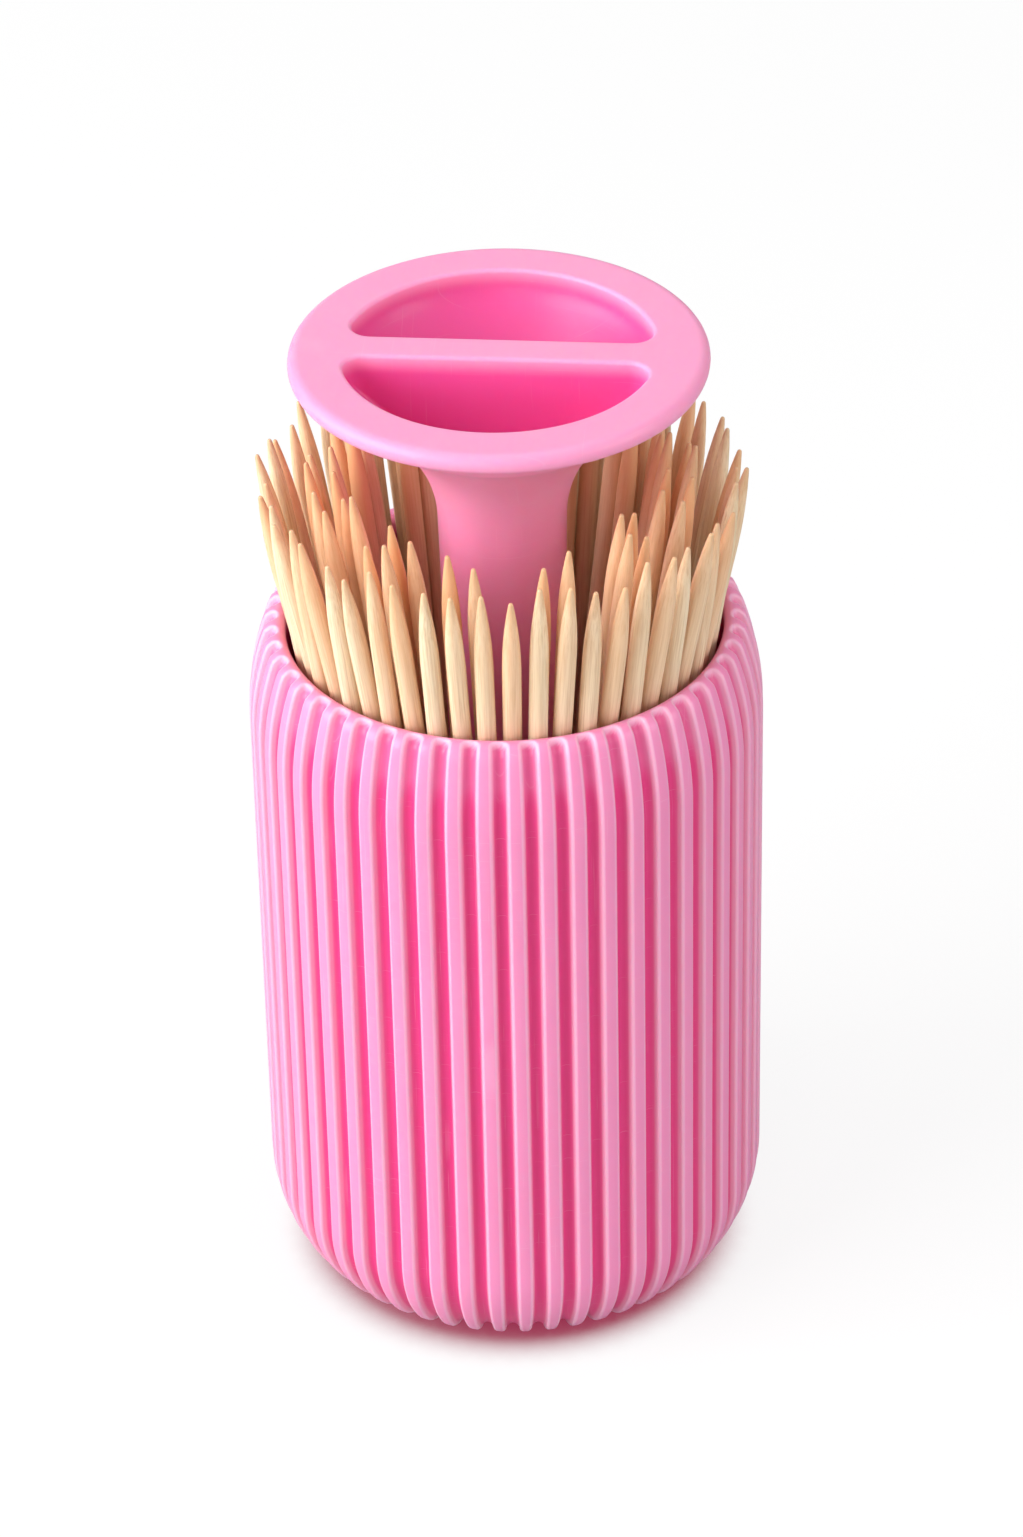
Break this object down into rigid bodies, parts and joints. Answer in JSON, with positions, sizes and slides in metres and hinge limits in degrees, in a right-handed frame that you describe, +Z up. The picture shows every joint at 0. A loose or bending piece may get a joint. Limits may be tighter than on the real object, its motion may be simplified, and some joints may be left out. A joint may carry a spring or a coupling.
{
  "type": "toothpick dispenser",
  "caption": "Ribbed round cup with a disc handle on a stem that lifts an inner tray, so that the standing toothpicks rise and fan out above the rim and sink back inside when it is pushed down.",
  "frame": {"origin": "centre of the cup's footprint on the surface it stands on, on the dispenser's axis", "axes": "+Z up along the axis of cup, post and handle; X along the handle's grip bar; -Y towards the side seen from the front"},
  "size_m": [0.056, 0.056, 0.1161],
  "materials": {
    "pink_plastic": "satin gloss, slightly translucent, fine scratches",
    "tray_plastic": "satin, fine concentric turning marks of the mould",
    "white_plastic": "satin",
    "clear_rubber": "soft, slightly milky silicone",
    "soft_rubber": "soft silicone with a dull surface",
    "zinc_steel": "zinc plated, turned",
    "birch_wood": "bare wood with fine lengthwise grain"
  },
  "bodies": {
    "shell": {"cup_shell": "pink_plastic", "base_plug": "pink_plastic", "foot_ring": "clear_rubber", "guide_post": "white_plastic", "base_screw": "zinc_steel"},
    "wiper": {"tray_wiper": "soft_rubber"},
    "lift": {"lift_tray": "tray_plastic", "lift_handle": "pink_plastic"},
    "rim_pick_01": {"rim_pick_01": "birch_wood"},
    "rim_pick_02": {"rim_pick_02": "birch_wood"},
    "rim_pick_03": {"rim_pick_03": "birch_wood"},
    "rim_pick_04": {"rim_pick_04": "birch_wood"},
    "rim_pick_05": {"rim_pick_05": "birch_wood"},
    "rim_pick_06": {"rim_pick_06": "birch_wood"},
    "rim_pick_07": {"rim_pick_07": "birch_wood"},
    "rim_pick_08": {"rim_pick_08": "birch_wood"},
    "rim_pick_09": {"rim_pick_09": "birch_wood"},
    "rim_pick_10": {"rim_pick_10": "birch_wood"},
    "rim_pick_11": {"rim_pick_11": "birch_wood"},
    "rim_pick_12": {"rim_pick_12": "birch_wood"},
    "rim_pick_13": {"rim_pick_13": "birch_wood"},
    "rim_pick_14": {"rim_pick_14": "birch_wood"},
    "rim_pick_15": {"rim_pick_15": "birch_wood"},
    "rim_pick_16": {"rim_pick_16": "birch_wood"},
    "rim_pick_17": {"rim_pick_17": "birch_wood"},
    "rim_pick_18": {"rim_pick_18": "birch_wood"},
    "rim_pick_19": {"rim_pick_19": "birch_wood"},
    "rim_pick_20": {"rim_pick_20": "birch_wood"},
    "rim_pick_21": {"rim_pick_21": "birch_wood"},
    "rim_pick_22": {"rim_pick_22": "birch_wood"},
    "rim_pick_23": {"rim_pick_23": "birch_wood"},
    "rim_pick_24": {"rim_pick_24": "birch_wood"},
    "rim_pick_25": {"rim_pick_25": "birch_wood"},
    "rim_pick_26": {"rim_pick_26": "birch_wood"},
    "slant_picks_01": {"slant_picks_01": "birch_wood"},
    "slant_picks_02": {"slant_picks_02": "birch_wood"},
    "slant_picks_03": {"slant_picks_03": "birch_wood"},
    "slant_picks_04": {"slant_picks_04": "birch_wood"},
    "slant_picks_05": {"slant_picks_05": "birch_wood"},
    "slant_picks_06": {"slant_picks_06": "birch_wood"},
    "slant_picks_07": {"slant_picks_07": "birch_wood"},
    "slant_picks_08": {"slant_picks_08": "birch_wood"},
    "slant_picks_09": {"slant_picks_09": "birch_wood"},
    "slant_picks_10": {"slant_picks_10": "birch_wood"},
    "slant_picks_11": {"slant_picks_11": "birch_wood"},
    "slant_picks_12": {"slant_picks_12": "birch_wood"},
    "slant_picks_13": {"slant_picks_13": "birch_wood"},
    "inner_picks_01": {"inner_picks_01": "birch_wood"},
    "inner_picks_02": {"inner_picks_02": "birch_wood"},
    "inner_picks_03": {"inner_picks_03": "birch_wood"},
    "inner_picks_04": {"inner_picks_04": "birch_wood"},
    "inner_picks_05": {"inner_picks_05": "birch_wood"},
    "inner_picks_06": {"inner_picks_06": "birch_wood"},
    "inner_picks_07": {"inner_picks_07": "birch_wood"},
    "inner_picks_08": {"inner_picks_08": "birch_wood"},
    "inner_picks_09": {"inner_picks_09": "birch_wood"},
    "inner_picks_10": {"inner_picks_10": "birch_wood"},
    "inner_picks_11": {"inner_picks_11": "birch_wood"},
    "inner_picks_12": {"inner_picks_12": "birch_wood"},
    "inner_picks_13": {"inner_picks_13": "birch_wood"}
  },
  "joints": [
    {"name": "lift_slide", "type": "slide", "parent": "shell", "child": "wiper", "axis": [0, 0, 1], "range_m": [-0.033, 0]},
    {"name": "lift_spin", "type": "hinge", "parent": "wiper", "child": "lift", "pos_m": [0, 0, 0.0389], "axis": [0, 0, 1], "continuous": true},
    {"name": "rim_pick_01_lean", "type": "hinge", "parent": "lift", "child": "rim_pick_01", "pos_m": [0, -0.01556, 0.03706], "axis": [1, 0, 0], "range_deg": [-4.9, 0]},
    {"name": "rim_pick_02_lean", "type": "hinge", "parent": "lift", "child": "rim_pick_02", "pos_m": [0.00372, -0.01511, 0.03706], "axis": [0.9709, 0.2393, 0], "range_deg": [-4.9, 0]},
    {"name": "rim_pick_03_lean", "type": "hinge", "parent": "lift", "child": "rim_pick_03", "pos_m": [0.00723, -0.01378, 0.03706], "axis": [0.8855, 0.4647, 0], "range_deg": [-4.9, 0]},
    {"name": "rim_pick_04_lean", "type": "hinge", "parent": "lift", "child": "rim_pick_04", "pos_m": [0.01032, -0.01165, 0.03706], "axis": [0.7485, 0.6631, 0], "range_deg": [-4.9, 0]},
    {"name": "rim_pick_05_lean", "type": "hinge", "parent": "lift", "child": "rim_pick_05", "pos_m": [0.01281, -0.00884, 0.03706], "axis": [0.5681, 0.823, 0], "range_deg": [-4.9, 0]},
    {"name": "rim_pick_06_lean", "type": "hinge", "parent": "lift", "child": "rim_pick_06", "pos_m": [0.01455, -0.00552, 0.03706], "axis": [0.3546, 0.935, 0], "range_deg": [-4.9, 0]},
    {"name": "rim_pick_07_lean", "type": "hinge", "parent": "lift", "child": "rim_pick_07", "pos_m": [0.01545, -0.00188, 0.03706], "axis": [0.1205, 0.9927, 0], "range_deg": [-4.9, 0]},
    {"name": "rim_pick_08_lean", "type": "hinge", "parent": "lift", "child": "rim_pick_08", "pos_m": [0.01545, 0.00188, 0.03706], "axis": [-0.1205, 0.9927, 0], "range_deg": [-4.9, 0]},
    {"name": "rim_pick_09_lean", "type": "hinge", "parent": "lift", "child": "rim_pick_09", "pos_m": [0.01455, 0.00552, 0.03706], "axis": [-0.3546, 0.935, 0], "range_deg": [-4.9, 0]},
    {"name": "rim_pick_10_lean", "type": "hinge", "parent": "lift", "child": "rim_pick_10", "pos_m": [0.01281, 0.00884, 0.03706], "axis": [-0.5681, 0.823, 0], "range_deg": [-4.9, 0]},
    {"name": "rim_pick_11_lean", "type": "hinge", "parent": "lift", "child": "rim_pick_11", "pos_m": [0.01032, 0.01165, 0.03706], "axis": [-0.7485, 0.6631, 0], "range_deg": [-4.9, 0]},
    {"name": "rim_pick_12_lean", "type": "hinge", "parent": "lift", "child": "rim_pick_12", "pos_m": [0.00723, 0.01378, 0.03706], "axis": [-0.8855, 0.4647, 0], "range_deg": [-4.9, 0]},
    {"name": "rim_pick_13_lean", "type": "hinge", "parent": "lift", "child": "rim_pick_13", "pos_m": [0.00372, 0.01511, 0.03706], "axis": [-0.9709, 0.2393, 0], "range_deg": [-4.9, 0]},
    {"name": "rim_pick_14_lean", "type": "hinge", "parent": "lift", "child": "rim_pick_14", "pos_m": [0, 0.01556, 0.03706], "axis": [-1, 0, 0], "range_deg": [-4.9, 0]},
    {"name": "rim_pick_15_lean", "type": "hinge", "parent": "lift", "child": "rim_pick_15", "pos_m": [-0.00372, 0.01511, 0.03706], "axis": [-0.9709, -0.2393, 0], "range_deg": [-4.9, 0]},
    {"name": "rim_pick_16_lean", "type": "hinge", "parent": "lift", "child": "rim_pick_16", "pos_m": [-0.00723, 0.01378, 0.03706], "axis": [-0.8855, -0.4647, 0], "range_deg": [-4.9, 0]},
    {"name": "rim_pick_17_lean", "type": "hinge", "parent": "lift", "child": "rim_pick_17", "pos_m": [-0.01032, 0.01165, 0.03706], "axis": [-0.7485, -0.6631, 0], "range_deg": [-4.9, 0]},
    {"name": "rim_pick_18_lean", "type": "hinge", "parent": "lift", "child": "rim_pick_18", "pos_m": [-0.01281, 0.00884, 0.03706], "axis": [-0.5681, -0.823, 0], "range_deg": [-4.9, 0]},
    {"name": "rim_pick_19_lean", "type": "hinge", "parent": "lift", "child": "rim_pick_19", "pos_m": [-0.01455, 0.00552, 0.03706], "axis": [-0.3546, -0.935, 0], "range_deg": [-4.9, 0]},
    {"name": "rim_pick_20_lean", "type": "hinge", "parent": "lift", "child": "rim_pick_20", "pos_m": [-0.01545, 0.00188, 0.03706], "axis": [-0.1205, -0.9927, 0], "range_deg": [-4.9, 0]},
    {"name": "rim_pick_21_lean", "type": "hinge", "parent": "lift", "child": "rim_pick_21", "pos_m": [-0.01545, -0.00188, 0.03706], "axis": [0.1205, -0.9927, 0], "range_deg": [-4.9, 0]},
    {"name": "rim_pick_22_lean", "type": "hinge", "parent": "lift", "child": "rim_pick_22", "pos_m": [-0.01455, -0.00552, 0.03706], "axis": [0.3546, -0.935, 0], "range_deg": [-4.9, 0]},
    {"name": "rim_pick_23_lean", "type": "hinge", "parent": "lift", "child": "rim_pick_23", "pos_m": [-0.01281, -0.00884, 0.03706], "axis": [0.5681, -0.823, 0], "range_deg": [-4.9, 0]},
    {"name": "rim_pick_24_lean", "type": "hinge", "parent": "lift", "child": "rim_pick_24", "pos_m": [-0.01032, -0.01165, 0.03706], "axis": [0.7485, -0.6631, 0], "range_deg": [-4.9, 0]},
    {"name": "rim_pick_25_lean", "type": "hinge", "parent": "lift", "child": "rim_pick_25", "pos_m": [-0.00723, -0.01378, 0.03706], "axis": [0.8855, -0.4647, 0], "range_deg": [-4.9, 0]},
    {"name": "rim_pick_26_lean", "type": "hinge", "parent": "lift", "child": "rim_pick_26", "pos_m": [-0.00372, -0.01511, 0.03706], "axis": [0.9709, -0.2393, 0], "range_deg": [-4.9, 0]},
    {"name": "slant_picks_01_lean", "type": "hinge", "parent": "lift", "child": "slant_picks_01", "pos_m": [0.00312, -0.01266, 0.03759], "axis": [0.9709, 0.2393, 0], "range_deg": [-7.6, 0]},
    {"name": "slant_picks_02_lean", "type": "hinge", "parent": "lift", "child": "slant_picks_02", "pos_m": [0.00865, -0.00976, 0.03759], "axis": [0.7485, 0.6631, 0], "range_deg": [-7.6, 0]},
    {"name": "slant_picks_03_lean", "type": "hinge", "parent": "lift", "child": "slant_picks_03", "pos_m": [0.01219, -0.00462, 0.03759], "axis": [0.3546, 0.935, 0], "range_deg": [-7.6, 0]},
    {"name": "slant_picks_04_lean", "type": "hinge", "parent": "lift", "child": "slant_picks_04", "pos_m": [0.01294, 0.00157, 0.03759], "axis": [-0.1205, 0.9927, 0], "range_deg": [-7.6, 0]},
    {"name": "slant_picks_05_lean", "type": "hinge", "parent": "lift", "child": "slant_picks_05", "pos_m": [0.01073, 0.00741, 0.03759], "axis": [-0.5681, 0.823, 0], "range_deg": [-7.6, 0]},
    {"name": "slant_picks_06_lean", "type": "hinge", "parent": "lift", "child": "slant_picks_06", "pos_m": [0.00606, 0.01155, 0.03759], "axis": [-0.8855, 0.4647, 0], "range_deg": [-7.6, 0]},
    {"name": "slant_picks_07_lean", "type": "hinge", "parent": "lift", "child": "slant_picks_07", "pos_m": [0, 0.01304, 0.03759], "axis": [-1, 0, 0], "range_deg": [-7.6, 0]},
    {"name": "slant_picks_08_lean", "type": "hinge", "parent": "lift", "child": "slant_picks_08", "pos_m": [-0.00606, 0.01155, 0.03759], "axis": [-0.8855, -0.4647, 0], "range_deg": [-7.6, 0]},
    {"name": "slant_picks_09_lean", "type": "hinge", "parent": "lift", "child": "slant_picks_09", "pos_m": [-0.01073, 0.00741, 0.03759], "axis": [-0.5681, -0.823, 0], "range_deg": [-7.6, 0]},
    {"name": "slant_picks_10_lean", "type": "hinge", "parent": "lift", "child": "slant_picks_10", "pos_m": [-0.01294, 0.00157, 0.03759], "axis": [-0.1205, -0.9927, 0], "range_deg": [-7.6, 0]},
    {"name": "slant_picks_11_lean", "type": "hinge", "parent": "lift", "child": "slant_picks_11", "pos_m": [-0.01219, -0.00462, 0.03759], "axis": [0.3546, -0.935, 0], "range_deg": [-7.6, 0]},
    {"name": "slant_picks_12_lean", "type": "hinge", "parent": "lift", "child": "slant_picks_12", "pos_m": [-0.00865, -0.00976, 0.03759], "axis": [0.7485, -0.6631, 0], "range_deg": [-7.6, 0]},
    {"name": "slant_picks_13_lean", "type": "hinge", "parent": "lift", "child": "slant_picks_13", "pos_m": [-0.00312, -0.01266, 0.03759], "axis": [0.9709, -0.2393, 0], "range_deg": [-7.6, 0]},
    {"name": "inner_picks_01_lean", "type": "hinge", "parent": "lift", "child": "inner_picks_01", "pos_m": [0.00397, -0.01047, 0.03798], "axis": [0.935, 0.3546, 0], "range_deg": [-5.5, 0]},
    {"name": "inner_picks_02_lean", "type": "hinge", "parent": "lift", "child": "inner_picks_02", "pos_m": [0.00702, -0.00622, 0.03837], "axis": [0.6631, 0.7485, 0], "range_deg": [-5.3, 0]},
    {"name": "inner_picks_03_lean", "type": "hinge", "parent": "lift", "child": "inner_picks_03", "pos_m": [0.00911, -0.00225, 0.03837], "axis": [0.2393, 0.9709, 0], "range_deg": [-5.3, 0]},
    {"name": "inner_picks_04_lean", "type": "hinge", "parent": "lift", "child": "inner_picks_04", "pos_m": [0.00911, 0.00225, 0.03837], "axis": [-0.2393, 0.9709, 0], "range_deg": [-5.3, 0]},
    {"name": "inner_picks_05_lean", "type": "hinge", "parent": "lift", "child": "inner_picks_05", "pos_m": [0.00702, 0.00622, 0.03837], "axis": [-0.6631, 0.7485, 0], "range_deg": [-5.3, 0]},
    {"name": "inner_picks_06_lean", "type": "hinge", "parent": "lift", "child": "inner_picks_06", "pos_m": [0.00333, 0.00877, 0.03837], "axis": [-0.935, 0.3546, 0], "range_deg": [-5.3, 0]},
    {"name": "inner_picks_07_lean", "type": "hinge", "parent": "lift", "child": "inner_picks_07", "pos_m": [-0.00113, 0.00931, 0.03837], "axis": [-0.9927, -0.1205, 0], "range_deg": [-5.3, 0]},
    {"name": "inner_picks_08_lean", "type": "hinge", "parent": "lift", "child": "inner_picks_08", "pos_m": [-0.00533, 0.00772, 0.03837], "axis": [-0.823, -0.5681, 0], "range_deg": [-5.3, 0]},
    {"name": "inner_picks_09_lean", "type": "hinge", "parent": "lift", "child": "inner_picks_09", "pos_m": [-0.00831, 0.00436, 0.03837], "axis": [-0.4647, -0.8855, 0], "range_deg": [-5.3, 0]},
    {"name": "inner_picks_10_lean", "type": "hinge", "parent": "lift", "child": "inner_picks_10", "pos_m": [-0.00938, 0, 0.03837], "axis": [0, -1, 0], "range_deg": [-5.3, 0]},
    {"name": "inner_picks_11_lean", "type": "hinge", "parent": "lift", "child": "inner_picks_11", "pos_m": [-0.00831, -0.00436, 0.03837], "axis": [0.4647, -0.8855, 0], "range_deg": [-5.3, 0]},
    {"name": "inner_picks_12_lean", "type": "hinge", "parent": "lift", "child": "inner_picks_12", "pos_m": [-0.00533, -0.00772, 0.03837], "axis": [0.823, -0.5681, 0], "range_deg": [-5.3, 0]},
    {"name": "inner_picks_13_lean", "type": "hinge", "parent": "lift", "child": "inner_picks_13", "pos_m": [-0.00135, -0.01112, 0.03798], "axis": [0.9927, -0.1205, 0], "range_deg": [-5.5, 0]}
  ],
  "couplings": [
    {"joint": "rim_pick_01_lean", "follows": "lift_slide", "rad_per_m": 2.5482},
    {"joint": "rim_pick_02_lean", "follows": "lift_slide", "rad_per_m": 2.5482},
    {"joint": "rim_pick_03_lean", "follows": "lift_slide", "rad_per_m": 2.5482},
    {"joint": "rim_pick_04_lean", "follows": "lift_slide", "rad_per_m": 2.5482},
    {"joint": "rim_pick_05_lean", "follows": "lift_slide", "rad_per_m": 2.5482},
    {"joint": "rim_pick_06_lean", "follows": "lift_slide", "rad_per_m": 2.5482},
    {"joint": "rim_pick_07_lean", "follows": "lift_slide", "rad_per_m": 2.5482},
    {"joint": "rim_pick_08_lean", "follows": "lift_slide", "rad_per_m": 2.5482},
    {"joint": "rim_pick_09_lean", "follows": "lift_slide", "rad_per_m": 2.5482},
    {"joint": "rim_pick_10_lean", "follows": "lift_slide", "rad_per_m": 2.5482},
    {"joint": "rim_pick_11_lean", "follows": "lift_slide", "rad_per_m": 2.5482},
    {"joint": "rim_pick_12_lean", "follows": "lift_slide", "rad_per_m": 2.5482},
    {"joint": "rim_pick_13_lean", "follows": "lift_slide", "rad_per_m": 2.5482},
    {"joint": "rim_pick_14_lean", "follows": "lift_slide", "rad_per_m": 2.5482},
    {"joint": "rim_pick_15_lean", "follows": "lift_slide", "rad_per_m": 2.5482},
    {"joint": "rim_pick_16_lean", "follows": "lift_slide", "rad_per_m": 2.5482},
    {"joint": "rim_pick_17_lean", "follows": "lift_slide", "rad_per_m": 2.5482},
    {"joint": "rim_pick_18_lean", "follows": "lift_slide", "rad_per_m": 2.5482},
    {"joint": "rim_pick_19_lean", "follows": "lift_slide", "rad_per_m": 2.5482},
    {"joint": "rim_pick_20_lean", "follows": "lift_slide", "rad_per_m": 2.5482},
    {"joint": "rim_pick_21_lean", "follows": "lift_slide", "rad_per_m": 2.5482},
    {"joint": "rim_pick_22_lean", "follows": "lift_slide", "rad_per_m": 2.5482},
    {"joint": "rim_pick_23_lean", "follows": "lift_slide", "rad_per_m": 2.5482},
    {"joint": "rim_pick_24_lean", "follows": "lift_slide", "rad_per_m": 2.5482},
    {"joint": "rim_pick_25_lean", "follows": "lift_slide", "rad_per_m": 2.5482},
    {"joint": "rim_pick_26_lean", "follows": "lift_slide", "rad_per_m": 2.5482},
    {"joint": "slant_picks_01_lean", "follows": "lift_slide", "rad_per_m": 3.9968},
    {"joint": "slant_picks_02_lean", "follows": "lift_slide", "rad_per_m": 3.9968},
    {"joint": "slant_picks_03_lean", "follows": "lift_slide", "rad_per_m": 3.9968},
    {"joint": "slant_picks_04_lean", "follows": "lift_slide", "rad_per_m": 3.9968},
    {"joint": "slant_picks_05_lean", "follows": "lift_slide", "rad_per_m": 3.9968},
    {"joint": "slant_picks_06_lean", "follows": "lift_slide", "rad_per_m": 3.9968},
    {"joint": "slant_picks_07_lean", "follows": "lift_slide", "rad_per_m": 3.9968},
    {"joint": "slant_picks_08_lean", "follows": "lift_slide", "rad_per_m": 3.9968},
    {"joint": "slant_picks_09_lean", "follows": "lift_slide", "rad_per_m": 3.9968},
    {"joint": "slant_picks_10_lean", "follows": "lift_slide", "rad_per_m": 3.9968},
    {"joint": "slant_picks_11_lean", "follows": "lift_slide", "rad_per_m": 3.9968},
    {"joint": "slant_picks_12_lean", "follows": "lift_slide", "rad_per_m": 3.9968},
    {"joint": "slant_picks_13_lean", "follows": "lift_slide", "rad_per_m": 3.9968},
    {"joint": "inner_picks_01_lean", "follows": "lift_slide", "rad_per_m": 2.8798},
    {"joint": "inner_picks_02_lean", "follows": "lift_slide", "rad_per_m": 2.7751},
    {"joint": "inner_picks_03_lean", "follows": "lift_slide", "rad_per_m": 2.7751},
    {"joint": "inner_picks_04_lean", "follows": "lift_slide", "rad_per_m": 2.7751},
    {"joint": "inner_picks_05_lean", "follows": "lift_slide", "rad_per_m": 2.7751},
    {"joint": "inner_picks_06_lean", "follows": "lift_slide", "rad_per_m": 2.7751},
    {"joint": "inner_picks_07_lean", "follows": "lift_slide", "rad_per_m": 2.7751},
    {"joint": "inner_picks_08_lean", "follows": "lift_slide", "rad_per_m": 2.7751},
    {"joint": "inner_picks_09_lean", "follows": "lift_slide", "rad_per_m": 2.7751},
    {"joint": "inner_picks_10_lean", "follows": "lift_slide", "rad_per_m": 2.7751},
    {"joint": "inner_picks_11_lean", "follows": "lift_slide", "rad_per_m": 2.7751},
    {"joint": "inner_picks_12_lean", "follows": "lift_slide", "rad_per_m": 2.7751},
    {"joint": "inner_picks_13_lean", "follows": "lift_slide", "rad_per_m": 2.8798}
  ]
}
